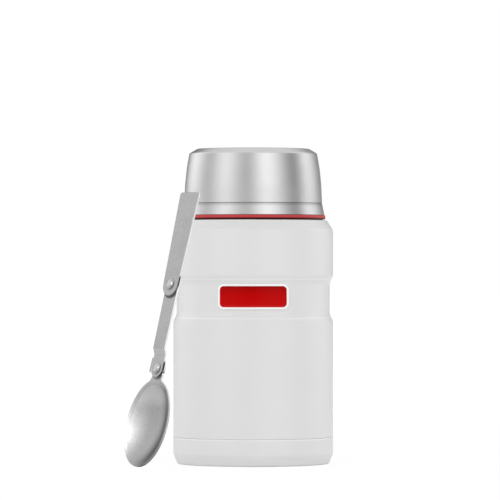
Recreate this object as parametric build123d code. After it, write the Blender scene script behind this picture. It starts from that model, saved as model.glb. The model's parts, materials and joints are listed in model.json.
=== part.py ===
"""An insulated steel food jar with a screw lid that is also a bowl, and a folding spoon.

Millimetres, +Z up. The origin is the centre of the jar's foot ring, on the surface it stands on.
-Y is the front, where the badge is. The spoon leans on the left of the front.
"""

from build123d import *
from math import acos, asin, atan, atan2, cos, degrees, hypot, radians, sin, tan
import os

# Sheet and moulding thicknesses
SHELL_WALL = 0.7
VESSEL_WALL = 0.6
LID_WALL = 0.7
LINER_WALL = 0.6
BASE_WALL = 0.8
MOULDED_WALL = 1.4
FOIL_WALL = 0.2

# Clearances
PRESS_GAP = 0.05        # sheet pressed or glued into sheet
SLIP_GAP = 0.1          # plates that slide on each other, and loose inner fits
SEAL_GAP = 0.08         # each side of a seal at rest
THREAD_GAP = 0.8        # room for a thread between the skirt and the collar
NECK_THREAD_GAP = 1.1   # room for a thread between the neck and the skirt
LID_SEAT_GAP = 0.2      # lid rim over the neck ring

# Jar body. A size that ends in _IN is measured inwards from BODY_R.
BODY_R = 47.5
WAIST_IN = 2.0
WAIST_LOW_Z, WAIST_HEIGHT = 88.8, 18.4  # the waist's flat band
WAIST_SLOPE = 4.3                       # height of each slope into the waist
WAIST_FILLET = 5.0
SHOULDER_Z = 138.7                      # where the side turns in to the shoulder
SHOULDER_IN, SHOULDER_RISE = 3.75, 5.9
SHOULDER_FILLET = 4.0
LEDGE_FILLET = 1.0
NECK_IN, NECK_HEIGHT = 11.9, 15.4

# Base
CUP_TOP_Z = 15.7
SEAM_GAP = 0.1
SEAM_DEPTH = 0.35       # height of the shell's step above the seam
SHELL_LAP = 7.7         # how far the shell goes down inside the cup
FOOT_IN, FOOT_WIDTH = 2.4, 4.9
FOOT_RECESS, FOOT_RECESS_RUN = 3.0, 1.6
BEVEL_Z = 6.3           # height of the bevel round the foot
BASE_LIFT = 1.2         # the disc that closes the shell, above the shell's lower end
BASE_FLANGE = 3.3
DIMPLE_R, DIMPLE_DEPTH = 5.5, 2.0

# Inner vessel, foil and getter
VESSEL_IN = 4.9
VESSEL_LIFT = 3.0       # its floor above the disc that closes the shell
VESSEL_CORNER_R = 9.0
VESSEL_SHOULDER_DROP = 5.7
VESSEL_NECK_DROP = 3.7
NECK_VACUUM = 0.8       # gap between the two necks
FOIL_END_GAP_LOW, FOIL_END_GAP_HIGH = 11.0, 5.0
GETTER_R, GETTER_H, GETTER_AT = 5.0, 2.2, 20.0

# Red ring round the neck
RING_IN, RING_HEIGHT = 4.6, 2.9
RING_LIFT = 0.5         # gap that shows under the ring's outer part
RING_OVERHANG = 1.9
RING_FILLET = 0.5

# Stopper
SKIRT_LIFT = 0.8        # its lower end over the neck ring
SEAL_SPACE = 1.0
DECK_THICKNESS = 1.8
PLUG_GAP = 0.6
PLUG_DEPTH = 18.0
PLUG_CORNER_R = 3.0
FOAM_GAP = 0.8
SEAL_INNER_GAP = 0.4
SEAL_WIDTH = 2.8

# Stopper cover with the spoon's well
COVER_IN = 2.1          # its side, in from the skirt's outside
COVER_HEIGHT = 9.2
SPIGOT_DEPTH, SPIGOT_WALL = 5.5, 1.4
WELL_LENGTH, WELL_WIDTH, WELL_DEPTH = 68.4, 42.0, 7.5
WELL_CORNER_R = 14.0
WELL_RIM = 1.6          # least wall between the well and the cover's side
NOTCH_R, NOTCH_REACH = 9.0, 5.0
FLUTES, FLUTE_R, FLUTE_DEPTH = 20, 2.5, 0.6

# Lid. Its radii are measured inwards from its rim, and its upper heights down from its top.
LID_IN, LID_HEIGHT = 5.1, 39.3
CREASE_IN, CREASE_RISE = 1.45, 6.9
LID_MID_IN = 1.85
LID_HIGH_IN, LID_HIGH_DROP = 2.9, 11.5
LID_EDGE_IN, LID_EDGE_DROP = 4.4, 2.8
LID_TOP_IN = 9.1
GROOVE_DEPTH, GROOVE_HALF = 0.35, 0.4
COLLAR_RECESS = 0.7
GASKET_SPACE, GASKET_WIDTH = 1.2, 1.6
LEDGE_DEPTH = 1.2
LINER_CORNER_R = 7.0
LINER_TOP_GAP, LINER_SIDE_GAP = 2.3, 2.2
LINER_FLANGE, LINER_TAPER = 1.8, 1.2

# Badge
BADGE_WIDTH, BADGE_HEIGHT = 41.4, 14.6
BADGE_RISE = 10.6       # its centre above the waist's lower end
BADGE_CORNER_R = 3.4
BADGE_THICKNESS = 1.4
BADGE_RIM = 1.1
INLAY_DEPTH = 0.5
INLAY_PROUD = 0.25

# Folding spoon
SPOON_AZIMUTH = 38.0    # degrees from -X towards -Y, where it leans on the jar
SPOON_SLOPE = 0.267     # how far it leans for each unit of height
SPOON_ASIDE = -4.6      # its centre line, sideways from the radial line
SPOON_REST = 0.93       # between the handle and the shoulder it leans on
FOOT_GAP = 0.25         # tip of the bowl above the surface it stands on
PLATE = 1.3
EDGE_BREAK = 0.3
HANDLE_REACH, HANDLE_TOP_WIDTH, HANDLE_END_R = 55.8, 18.6, 7.2
HANDLE_CORNER_R = 1.5
LINK_SPAN, LINK_TOP_R, LINK_LOW_R = 50.2, 5.85, 5.3
JOGGLE, JOGGLE_AT, JOGGLE_RUN, JOGGLE_FILLET = 1.8, 8.6, 3.4, 1.2
BOWL_NECK, BOWL_LENGTH, BOWL_WIDTH, BOWL_DEPTH = 6.6, 52.4, 39.6, 8.0
BOWL_WALL = 1.2
BRIM_WIDTH, BRIM_ROUND = 1.2, 3.0       # level rim of the bowl, and the round inside it
BOWL_SET = 1.6          # degrees short of straight when the bowl is open
TANG_WIDTH = 9.4
TANG_FILLET_LEFT, TANG_FILLET_RIGHT = 5.5, 2.6
STOP_WIDTH, STOP_LOW, STOP_HIGH = 1.3, -2.6, 6.0
STOP_GAP = 0.25
RIVET_R, RIVET_HEAD_R, RIVET_HEAD_H = 2.0, 3.2, 1.1
RIVET_GAP = 0.05


def moved_left(points, radii, distance):
    """An open path and its corner radii, moved sideways to the path's left."""
    corners = [Vector(*point) for point in points]
    ways = [(b - a).normalized() for a, b in zip(corners, corners[1:])]
    lefts = [Vector(-way.Y, way.X) for way in ways]
    moved = [corners[0] + lefts[0] * distance]
    new_radii = []
    for corner, before, after, radius in zip(corners[1:], lefts, lefts[1:], radii):
        moved.append(corner + (before + after) * (distance / (1 + before.dot(after))))
        turns_left = before.cross(after).Z > 0
        new_radii.append(radius - distance if turns_left else radius + distance)
    moved.append(corners[-1] + lefts[-1] * distance)
    return [(point.X, point.Y) for point in moved], new_radii


def sheet_face(points, radii, wall):
    """The section of a bent sheet: a path, and the same path moved left by the wall."""
    far_points, far_radii = moved_left(points, radii, wall)
    near = FilletPolyline(*points, radius=radii)
    far = FilletPolyline(*far_points, radius=far_radii)
    ends = [Line(points[0], far_points[0]), Line(points[-1], far_points[-1])]
    return make_face([*near.edges(), *far.edges(), *ends[0].edges(), *ends[1].edges()])


def turned(face):
    """A solid of revolution about the jar's axis from a (radius, height) face."""
    return revolve(Plane.XZ * face, Axis.Z)


def turned_sheet(points, radii, wall):
    return turned(sheet_face(points, radii, wall))


def turned_ring(points, radii):
    return turned(make_face(FilletPolyline(*points, radius=radii, close=True).edges()))


def radius_at(points, height):
    """The radius of a rising path of straight runs at a height."""
    for (r_low, z_low), (r_high, z_high) in zip(points, points[1:]):
        if z_low <= height <= z_high:
            return r_low + (r_high - r_low) * (height - z_low) / (z_high - z_low)
    raise ValueError(f"no part of the path is at height {height}")


# Jar: radii and heights that several pieces share
waist_r = BODY_R - WAIST_IN
neck_r = BODY_R - NECK_IN
vessel_r = BODY_R - VESSEL_IN
cup_inner_r = BODY_R - SHELL_WALL
shell_low_r = cup_inner_r - PRESS_GAP
vessel_neck_r = neck_r - SHELL_WALL - NECK_VACUUM
mouth_r = vessel_neck_r - VESSEL_WALL
step_low_z = CUP_TOP_Z + SEAM_GAP
shell_low_z = CUP_TOP_Z - SHELL_LAP
base_z = shell_low_z + BASE_LIFT
vessel_floor_z = base_z + BASE_WALL + VESSEL_LIFT
waist_high_z = WAIST_LOW_Z + WAIST_HEIGHT
ledge_z = SHOULDER_Z + SHOULDER_RISE
vessel_shoulder_z = SHOULDER_Z - VESSEL_SHOULDER_DROP
ring_top_z = ledge_z + RING_HEIGHT
lip_z = ledge_z + NECK_HEIGHT
neck_top_z = lip_z - VESSEL_WALL

# Stopper
skirt_inner_r = neck_r + NECK_THREAD_GAP
skirt_outer_r = skirt_inner_r + MOULDED_WALL
plug_r = mouth_r - PLUG_GAP
plug_bore_r = plug_r - MOULDED_WALL
cover_r = skirt_outer_r - COVER_IN
deck_under_z = lip_z + SEAL_SPACE
deck_z = deck_under_z + DECK_THICKNESS
plug_low_z = lip_z - PLUG_DEPTH

# Lid
lid_rim_r = BODY_R - LID_IN
collar_inner_r = skirt_outer_r + THREAD_GAP
lid_rim_z = ring_top_z + LID_SEAT_GAP
lid_top_z = lid_rim_z + LID_HEIGHT
ledge_under_z = deck_z + GASKET_SPACE
lid_seat_z = ledge_under_z + LEDGE_DEPTH
liner_r = lid_rim_r - LID_MID_IN - LID_WALL - LINER_SIDE_GAP
liner_top_z = lid_top_z - LID_WALL - LINER_TOP_GAP
lid_points = [
    (lid_rim_r, lid_rim_z),
    (lid_rim_r - CREASE_IN, lid_rim_z + CREASE_RISE),
    (lid_rim_r - LID_MID_IN, lid_seat_z),
    (lid_rim_r - LID_HIGH_IN, lid_top_z - LID_HIGH_DROP),
    (lid_rim_r - LID_EDGE_IN, lid_top_z - LID_EDGE_DROP),
    (lid_rim_r - LID_TOP_IN, lid_top_z),
    (0, lid_top_z),
]
lid_radii = [1.2, 80, 60, 1.2, 2.5]

# Badge
badge_z = WAIST_LOW_Z + BADGE_RISE
badge_back_r = waist_r + SLIP_GAP
badge_face_r = badge_back_r + BADGE_THICKNESS
inlay_back_r = badge_face_r - INLAY_DEPTH


def outer_shell():
    points = [
        (shell_low_r, shell_low_z),
        (shell_low_r, step_low_z),
        (BODY_R, step_low_z + SEAM_DEPTH),
        (BODY_R, WAIST_LOW_Z - WAIST_SLOPE),
        (waist_r, WAIST_LOW_Z),
        (waist_r, waist_high_z),
        (BODY_R, waist_high_z + WAIST_SLOPE),
        (BODY_R, SHOULDER_Z),
        (BODY_R - SHOULDER_IN, ledge_z),
        (neck_r, ledge_z),
        (neck_r, neck_top_z),
    ]
    tight = SHELL_WALL + 0.1
    radii = [0.4, tight, *[WAIST_FILLET] * 4, SHOULDER_FILLET, tight, LEDGE_FILLET]
    return turned_sheet(points, radii, SHELL_WALL)


def base_cup():
    foot_outer_r = BODY_R - FOOT_IN
    foot_inner_r = foot_outer_r - FOOT_WIDTH
    points = [
        (0, FOOT_RECESS),
        (foot_inner_r - FOOT_RECESS_RUN, FOOT_RECESS),
        (foot_inner_r, 0),
        (foot_outer_r, 0),
        (BODY_R, BEVEL_Z),
        (BODY_R, CUP_TOP_Z),
    ]
    return turned_sheet(points, [2, SHELL_WALL + 0.3, SHELL_WALL + 0.5, 4], SHELL_WALL)


def vacuum_base():
    side_r = shell_low_r - SHELL_WALL - SLIP_GAP
    points = [
        (0, base_z - DIMPLE_DEPTH),
        (DIMPLE_R, base_z - DIMPLE_DEPTH),
        (DIMPLE_R + DIMPLE_DEPTH, base_z),
        (side_r, base_z),
        (side_r, base_z + BASE_FLANGE),
    ]
    return turned_sheet(points, [BASE_WALL + 0.7, 1.5, 2.5 * BASE_WALL], BASE_WALL)


def inner_vessel():
    points = [
        (0, vessel_floor_z),
        (vessel_r, vessel_floor_z),
        (vessel_r, vessel_shoulder_z),
        (vessel_neck_r, ledge_z - VESSEL_NECK_DROP),
        (vessel_neck_r, neck_top_z),
        (neck_r, neck_top_z),
    ]
    return turned_sheet(points, [VESSEL_CORNER_R, 6, 2, 0.4], VESSEL_WALL)


def reflective_foil():
    inner_r = vessel_r + SLIP_GAP
    outer_r = inner_r + FOIL_WALL
    low_z = vessel_floor_z + FOIL_END_GAP_LOW
    high_z = vessel_shoulder_z - FOIL_END_GAP_HIGH
    points = [(inner_r, low_z), (outer_r, low_z), (outer_r, high_z), (inner_r, high_z)]
    return turned_ring(points, 0)


def getter():
    bed_z = base_z + BASE_WALL
    pill = Pos(GETTER_AT, 0, bed_z + GETTER_H / 2) * Cylinder(GETTER_R, GETTER_H)
    return fillet(pill.edges().group_by(Axis.Z)[-1], 0.6)


def neck_ring():
    inner_r = neck_r + PRESS_GAP
    outer_r = BODY_R - RING_IN
    seat_r = outer_r - RING_OVERHANG
    ease = LEDGE_FILLET + PRESS_GAP
    points = [
        (inner_r + ease, ledge_z),
        (seat_r, ledge_z),
        (seat_r + RING_LIFT, ledge_z + RING_LIFT),
        (outer_r, ledge_z + RING_LIFT),
        (outer_r, ring_top_z),
        (inner_r, ring_top_z),
        (inner_r, ledge_z + ease),
    ]
    return turned_ring(points, [0, 0, 0, RING_FILLET, RING_FILLET, 0, 0])


def badge_prism(trim):
    """A rounded rectangle run through the front of the waist, smaller all round by the trim."""
    outline = RectangleRounded(
        BADGE_WIDTH - 2 * trim, BADGE_HEIGHT - 2 * trim, BADGE_CORNER_R - trim
    )
    return extrude(Plane.XZ.offset(waist_r / 2) * Pos(0, badge_z) * outline, BODY_R)


def waist_band(inner_r, outer_r):
    ring = Cylinder(outer_r, 2 * BADGE_HEIGHT) - Cylinder(inner_r, 2 * BADGE_HEIGHT)
    return Pos(0, 0, badge_z) * ring


def badge_plate():
    plate = waist_band(badge_back_r, badge_face_r) & badge_prism(0)
    return plate - (waist_band(inlay_back_r, BODY_R + 1) & badge_prism(BADGE_RIM))


def badge_inlay():
    enamel = waist_band(inlay_back_r, badge_face_r + INLAY_PROUD)
    return enamel & badge_prism(BADGE_RIM + PRESS_GAP)


def stopper_body():
    floor_z = plug_low_z + MOULDED_WALL
    points = [
        (skirt_inner_r, ring_top_z + SKIRT_LIFT),
        (skirt_outer_r, ring_top_z + SKIRT_LIFT),
        (skirt_outer_r, deck_z),
        (plug_bore_r, deck_z),
        (plug_bore_r, floor_z),
        (0, floor_z),
        (0, plug_low_z),
        (plug_r, plug_low_z),
        (plug_r, deck_under_z),
        (skirt_inner_r, deck_under_z),
    ]
    radii = [0, 0.4, 0.6, 0, PLUG_CORNER_R - MOULDED_WALL, 0, 0, PLUG_CORNER_R, 0, 0.5]
    return turned_ring(points, radii)


def stopper_foam():
    low_z = plug_low_z + MOULDED_WALL
    high_z = deck_z - SPIGOT_DEPTH - FOAM_GAP
    foam = Cylinder(plug_bore_r - SLIP_GAP, high_z - low_z)
    foam = fillet(foam.edges().group_by(Axis.Z)[0], PLUG_CORNER_R - MOULDED_WALL + SLIP_GAP)
    return Pos(0, 0, (low_z + high_z) / 2) * foam


def stopper_seal():
    inner_r = plug_r + SEAL_INNER_GAP
    outer_r = inner_r + SEAL_WIDTH
    low_z, high_z = lip_z + SEAL_GAP, deck_under_z - SEAL_GAP
    points = [(inner_r, low_z), (outer_r, low_z), (outer_r, high_z), (inner_r, high_z)]
    return turned_ring(points, 0.3)


def stopper_cover():
    """Disc with a spigot, a well for the folded spoon, finger notches and a fluted side."""
    top_z = deck_z + COVER_HEIGHT
    mid_z = deck_z + COVER_HEIGHT / 2
    disc = Pos(0, 0, mid_z) * Cylinder(cover_r, COVER_HEIGHT)
    disc = fillet(disc.edges().group_by(Axis.Z)[-1], 1.0)
    flute = Pos(cover_r + FLUTE_R - FLUTE_DEPTH, 0, mid_z) * Cylinder(FLUTE_R, COVER_HEIGHT - 3)
    flute_cuts = [Rot(0, 0, 360 / FLUTES * turn) * flute for turn in range(FLUTES)]
    outline = RectangleRounded(WELL_LENGTH, WELL_WIDTH, WELL_CORNER_R)
    outline = outline & Circle(cover_r - FLUTE_DEPTH - WELL_RIM)
    well = extrude(Pos(0, 0, top_z - WELL_DEPTH) * outline, WELL_DEPTH)
    notch_y = WELL_WIDTH / 2 + NOTCH_REACH - NOTCH_R
    notch = Pos(0, notch_y, top_z - WELL_DEPTH / 2) * Cylinder(NOTCH_R, WELL_DEPTH)
    spigot_r = plug_bore_r - SLIP_GAP
    spigot = Cylinder(spigot_r, SPIGOT_DEPTH) - Cylinder(spigot_r - SPIGOT_WALL, SPIGOT_DEPTH)
    cover = disc - flute_cuts - well - [notch, Rot(0, 0, 180) * notch]
    return cover + Pos(0, 0, deck_z - SPIGOT_DEPTH / 2) * spigot


def lid_shell():
    shell = turned_sheet(lid_points, lid_radii, LID_WALL)
    crease_r, crease_z = lid_points[1]
    groove = [
        (crease_r + 1, crease_z - GROOVE_HALF),
        (crease_r + 1, crease_z + GROOVE_HALF),
        (crease_r - GROOVE_DEPTH, crease_z),
    ]
    return shell - turned_ring(groove, 0)


def lid_collar():
    """Moulded collar with the female thread, seated inside the lid's shell."""
    inside, _ = moved_left(lid_points, lid_radii, LID_WALL + SLIP_GAP)
    low_z = lid_rim_z + COLLAR_RECESS
    points = [
        (collar_inner_r, low_z),
        (radius_at(inside, low_z), low_z),
        inside[1],
        (radius_at(inside, lid_seat_z), lid_seat_z),
        (liner_r - LINER_WALL, lid_seat_z),
        (liner_r - LINER_WALL, ledge_under_z),
        (collar_inner_r, ledge_under_z),
    ]
    return turned_ring(points, [0.3, 0.5, 0, 0, 0, 0.3, 0.3])


def lid_liner():
    seat_top_z = lid_seat_z + LINER_WALL
    points = [
        (liner_r + LINER_FLANGE, seat_top_z),
        (liner_r, seat_top_z),
        (liner_r - LINER_TAPER, liner_top_z),
        (0, liner_top_z),
    ]
    return turned_sheet(points, [LINER_WALL, LINER_CORNER_R], LINER_WALL)


def lid_gasket():
    outer_r = collar_inner_r - SLIP_GAP
    inner_r = outer_r - GASKET_WIDTH
    low_z, high_z = deck_z + SEAL_GAP, ledge_under_z - SEAL_GAP
    points = [(inner_r, low_z), (outer_r, low_z), (outer_r, high_z), (inner_r, high_z)]
    return turned_ring(points, 0.3)


# The spoon's own frame: x across it, y up along it, z out of its face and away from the jar.
# Its origin is the lower pivot, on the handle's inner face.
link_face = -SLIP_GAP
low_link_face = link_face - JOGGLE
tang_face = low_link_face - PLATE - SLIP_GAP
bowl_rise = (BOWL_NECK + BOWL_LENGTH) * cos(radians(BOWL_SET))

lean = atan(SPOON_SLOPE)
azimuth = radians(SPOON_AZIMUTH)
across = Vector(sin(azimuth), -cos(azimuth), 0)
along = Vector(sin(lean) * cos(azimuth), sin(lean) * sin(azimuth), cos(lean))
face_out = across.cross(along)

# The tip of the bowl is on the floor, and the handle rests on the round of the shoulder.
round_r = BODY_R - SHOULDER_FILLET
round_z = SHOULDER_Z - SHOULDER_FILLET * tan(atan(SHOULDER_IN / SHOULDER_RISE) / 2)
pivot_z = FOOT_GAP + bowl_rise * cos(lean) - tang_face * sin(lean)
reach_out = SHOULDER_FILLET + SPOON_REST + (round_z - pivot_z) * sin(lean)
pivot_r = round_r + reach_out / cos(lean)
lower_pivot = Vector(-pivot_r * cos(azimuth), -pivot_r * sin(azimuth), pivot_z)
lower_pivot += across * SPOON_ASIDE
upper_pivot = lower_pivot + along * LINK_SPAN
spoon_frame = Plane(origin=lower_pivot, x_dir=across, z_dir=face_out)


def break_edges(plate):
    """Takes the sharp edges off both faces of a flat plate."""
    layers = plate.edges().group_by(Axis.Z)
    return chamfer([*layers[0], *layers[-1]], EDGE_BREAK)


def spoon_handle():
    """Plate that widens from a round end to a square one, with its sides tangent to the round."""
    corner_x, corner_y = HANDLE_TOP_WIDTH / 2, HANDLE_REACH
    touch = atan2(corner_y, corner_x) - acos(HANDLE_END_R / hypot(corner_x, corner_y))
    touch_x, touch_y = HANDLE_END_R * cos(touch), HANDLE_END_R * sin(touch)
    blade = Polygon(
        (touch_x, touch_y), (corner_x, corner_y), (-corner_x, corner_y), (-touch_x, touch_y),
        align=None,
    )
    blade = fillet(blade.vertices().group_by(Axis.Y)[-1], HANDLE_CORNER_R)
    plate = break_edges(extrude(blade + Circle(HANDLE_END_R), PLATE))
    bore = Pos(0, 0, PLATE / 2) * Cylinder(RIVET_R + RIVET_GAP, 2 * PLATE)
    return spoon_frame * Pos(0, LINK_SPAN, 0) * (plate - bore)


def spoon_link():
    """Tapered plate with two round ends that steps inwards above the lower pivot."""
    side_points = [
        (-LINK_LOW_R, low_link_face - PLATE),
        (JOGGLE_AT, low_link_face - PLATE),
        (JOGGLE_AT + JOGGLE_RUN, link_face - PLATE),
        (LINK_SPAN + LINK_TOP_R, link_face - PLATE),
    ]
    side = sheet_face(side_points, [JOGGLE_FILLET + PLATE, JOGGLE_FILLET], PLATE)
    strip = extrude(Plane.YZ * side, LINK_TOP_R, both=True)
    tilt = asin((LINK_LOW_R - LINK_TOP_R) / LINK_SPAN)
    low_x, low_y = LINK_LOW_R * cos(tilt), LINK_LOW_R * sin(tilt)
    top_x, top_y = LINK_TOP_R * cos(tilt), LINK_TOP_R * sin(tilt) + LINK_SPAN
    outline = Polygon(
        (low_x, low_y), (top_x, top_y), (-top_x, top_y), (-low_x, low_y), align=None
    )
    outline += [Circle(LINK_LOW_R), Pos(0, LINK_SPAN) * Circle(LINK_TOP_R)]
    link = strip & extrude(Pos(0, 0, tang_face) * outline, JOGGLE + 4 * PLATE)
    for height in (0, LINK_SPAN):
        link -= Pos(0, height, 0) * Cylinder(RIVET_R + RIVET_GAP / 2, 8 * PLATE)
    return spoon_frame * link


def bowl_curve(lift):
    """The bowl's section from its centre to its brim, moved out from its inside by the lift.

    It is drawn at the bowl's half width: a dished arc, and a round that turns level.
    """
    brim_r = BOWL_WIDTH / 2 - BRIM_WIDTH
    depth = BOWL_DEPTH - BOWL_WALL
    both_r = (brim_r**2 + depth**2) / (2 * depth)
    dish_r = both_r - BRIM_ROUND
    turn = degrees(asin(brim_r / both_r))
    dished = CenterArc((0, dish_r - depth), dish_r + lift, -90, turn)
    levelled = CenterArc((brim_r, -BRIM_ROUND), BRIM_ROUND - lift, 90 + turn, -turn)
    return [dished.edge(), levelled.edge()]


def spoon_bowl():
    """Dished bowl with a flat tang, pivot hole and a stop that meets the link's left side."""
    middle = BOWL_NECK + BOWL_LENGTH / 2
    rim_r = BOWL_WIDTH / 2
    brim_r = rim_r - BRIM_WIDTH
    inside_z = BOWL_WALL - BOWL_DEPTH
    brim = Polyline((brim_r, 0), (rim_r, 0), (rim_r, -BOWL_WALL), (brim_r, -BOWL_WALL))
    centre_line = Line((0, -BOWL_DEPTH), (0, inside_z))
    above = Polyline((brim_r, 0), (brim_r, BOWL_WALL), (0, BOWL_WALL), (0, inside_z))
    sheet = [*bowl_curve(0), *brim.edges(), *bowl_curve(BOWL_WALL), centre_line.edge()]
    place = Pos(0, -middle, tang_face)
    stretch = (1, BOWL_LENGTH / BOWL_WIDTH, 1)
    dish = place * scale(turned(make_face(sheet)), by=stretch)
    hollow = place * scale(turned(make_face([*bowl_curve(0), *above.edges()])), by=stretch)

    rim = Pos(0, -middle) * Ellipse(BOWL_WIDTH / 2, BOWL_LENGTH / 2)
    strip = Pos(0, -middle / 2) * Rectangle(TANG_WIDTH, middle)
    outline = rim + strip
    joints = [v for v in outline.vertices() if -middle < v.Y < -BOWL_NECK / 2]
    left, right = sorted(joints, key=lambda vertex: vertex.X)[:: len(joints) - 1]
    outline = fillet(left, TANG_FILLET_LEFT)
    right = outline.vertices().sort_by_distance((right.X, right.Y, 0))[0]
    outline = fillet(right, TANG_FILLET_RIGHT)
    reach = TANG_WIDTH / 2 + TANG_FILLET_LEFT
    window = Pos(0, -BOWL_NECK) * Rectangle(2 * reach, 4 * BOWL_NECK)
    tang = extrude(Pos(0, 0, tang_face - PLATE) * (outline & window), PLATE)
    tang += Pos(0, 0, tang_face - PLATE / 2) * Cylinder(LINK_LOW_R, PLATE)

    stop_inner = LINK_LOW_R + STOP_GAP
    stop_height = low_link_face - tang_face + PLATE
    stop_x = -stop_inner - STOP_WIDTH / 2
    stop_y = (STOP_LOW + STOP_HIGH) / 2
    back = tang_face - PLATE
    stop = Pos(stop_x, stop_y, back + stop_height / 2) * Box(
        STOP_WIDTH, STOP_HIGH - STOP_LOW, stop_height
    )
    arm = Pos(-stop_inner / 2 - STOP_WIDTH / 2, STOP_LOW + PLATE, back + PLATE / 2) * Box(
        stop_inner + STOP_WIDTH, 2 * PLATE, PLATE
    )
    bore = Cylinder(RIVET_R + RIVET_GAP, 8 * PLATE)
    bowl = dish + (tang - hollow) + stop + arm - bore
    return spoon_frame * Rot(0, 0, -BOWL_SET) * bowl


def rivet(low_face, high_face):
    """Round rivet with a domed head on each face of the stack, both heads clear by a hair."""
    head_low, head_high = low_face - RIVET_GAP, high_face + RIVET_GAP
    dome = RIVET_HEAD_H * 0.55
    points = [
        (0, head_low - RIVET_HEAD_H),
        (RIVET_HEAD_R * 0.6, head_low - RIVET_HEAD_H),
        (RIVET_HEAD_R, head_low - RIVET_HEAD_H + dome),
        (RIVET_HEAD_R, head_low),
        (RIVET_R, head_low),
        (RIVET_R, head_high),
        (RIVET_HEAD_R, head_high),
        (RIVET_HEAD_R, head_high + RIVET_HEAD_H - dome),
        (RIVET_HEAD_R * 0.6, head_high + RIVET_HEAD_H),
        (0, head_high + RIVET_HEAD_H),
    ]
    radii = [0, 1.2, 0.3, 0, 0, 0, 0, 0.3, 1.2, 0]
    return turned_ring(points, radii)


def upper_rivet():
    return spoon_frame * Pos(0, LINK_SPAN, 0) * rivet(link_face - PLATE, PLATE)


def lower_rivet():
    return spoon_frame * rivet(tang_face - PLATE, low_link_face)


SUB_PARTS = [
    outer_shell, base_cup, vacuum_base, inner_vessel, reflective_foil, getter, neck_ring,
    badge_plate, badge_inlay, stopper_body, stopper_foam, stopper_seal, stopper_cover,
    lid_shell, lid_collar, lid_liner, lid_gasket, spoon_handle, spoon_link, spoon_bowl,
    upper_rivet, lower_rivet,
]

os.makedirs("parts", exist_ok=True)
for make in SUB_PARTS:
    export_step(make(), f"parts/{make.__name__}.step")

print("upper pivot", upper_pivot, "lower pivot", lower_pivot, "pivot axis", face_out)
print("mouth radius", mouth_r, "vessel radius", vessel_r)
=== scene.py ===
# %% [markdown]
# # An insulated food jar with its folding spoon
#
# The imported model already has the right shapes: a drawn steel body, a screw lid that is also a
# bowl, the stopper under it and a spoon of three riveted plates. This lesson dresses it. It adds
# the screw threads, gives every piece the finish that its maker would, and lights it plainly.
# Everything is in metres, in the model's own frame: +Z is up and -Y is the front.

# %% Load the model
import json
from math import cos, degrees, hypot, pi, radians, sin, tau

import bmesh
import bpy
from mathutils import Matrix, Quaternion, Vector


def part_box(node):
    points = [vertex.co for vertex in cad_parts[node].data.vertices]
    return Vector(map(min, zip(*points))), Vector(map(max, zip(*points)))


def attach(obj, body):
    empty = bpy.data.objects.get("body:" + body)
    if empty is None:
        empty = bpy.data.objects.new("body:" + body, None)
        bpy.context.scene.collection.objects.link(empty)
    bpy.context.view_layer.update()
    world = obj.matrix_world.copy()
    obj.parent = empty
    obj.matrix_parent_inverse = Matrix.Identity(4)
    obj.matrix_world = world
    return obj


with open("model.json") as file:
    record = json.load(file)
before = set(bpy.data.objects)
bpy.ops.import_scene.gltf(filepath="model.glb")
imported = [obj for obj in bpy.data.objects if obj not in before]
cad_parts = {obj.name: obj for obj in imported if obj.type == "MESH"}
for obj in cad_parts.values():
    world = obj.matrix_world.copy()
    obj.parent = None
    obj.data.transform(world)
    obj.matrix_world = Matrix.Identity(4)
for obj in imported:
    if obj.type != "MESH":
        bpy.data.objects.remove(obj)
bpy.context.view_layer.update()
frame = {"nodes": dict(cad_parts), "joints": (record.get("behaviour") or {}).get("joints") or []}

nodes = frame["nodes"]

# %% [markdown]
# ## Camera
#
# A long lens a good way off keeps the jar's sides upright. A short lens close by would make them
# lean towards each other. The camera stands a little over half way up the jar, so the lid's top is
# seen nearly edge on and the foot curves down only a little.

# %% Camera
MM = 0.001
VIEW_DISTANCE = 2480 * MM
VIEW_HEIGHT = 115 * MM
VIEW_ASIDE = -1.9 * MM
VIEW_PITCH = radians(90.275)
LENS, SENSOR_WIDTH = 300.2, 36
FARTHEST_SEEN = 20

camera_data = bpy.data.cameras.new("camera")
camera_data.lens = LENS
camera_data.sensor_width = SENSOR_WIDTH
camera_data.clip_end = FARTHEST_SEEN
camera = bpy.data.objects.new("camera", camera_data)
camera.location = (VIEW_ASIDE, -VIEW_DISTANCE, VIEW_HEIGHT)
camera.rotation_euler = (VIEW_PITCH, 0, 0)
bpy.context.scene.collection.objects.link(camera)
bpy.context.scene.camera = camera
bpy.context.scene.view_settings.view_transform = "Standard"
print("camera at", tuple(round(c, 3) for c in camera.location))

# %% [markdown]
# ## Small helpers for node trees
#
# Each material below is a short list of nodes, and most of them do one of a few small jobs. A
# helper for each job keeps that list readable: to add a node and set its values, to join two
# sockets, to tell a point's place, and to look a value up in a colour ramp.


# %% Helpers for nodes
def add_node(tree, kind, **values):
    """Adds a node. A value named after an input sets that input, any other sets the node."""
    node = tree.nodes.new(kind)
    for name, value in values.items():
        socket = node.inputs.get(name.replace("_", " "))
        if socket is not None and not hasattr(node, name):
            socket.default_value = value
        else:
            setattr(node, name, value)
    return node


def join(tree, source, target):
    tree.links.new(source, target)


def place_of(tree):
    """A point's place in the model's frame, which stays the same when the piece moves."""
    return add_node(tree, "ShaderNodeTexCoord").outputs["Object"]


def ramp(tree, value, stops, interpolation="LINEAR"):
    """A colour ramp on a value, from a list of (position, grey or colour)."""
    node = tree.nodes.new("ShaderNodeValToRGB")
    node.color_ramp.interpolation = interpolation
    elements = node.color_ramp.elements
    while len(elements) < len(stops):
        elements.new(0.5)
    for element, (position, colour) in zip(elements, stops):
        element.position = position
        shade = (colour, colour, colour) if isinstance(colour, (int, float)) else colour
        element.color = (*shade, 1)
    join(tree, value, node.inputs["Fac"])
    return node.outputs["Color"]


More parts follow.
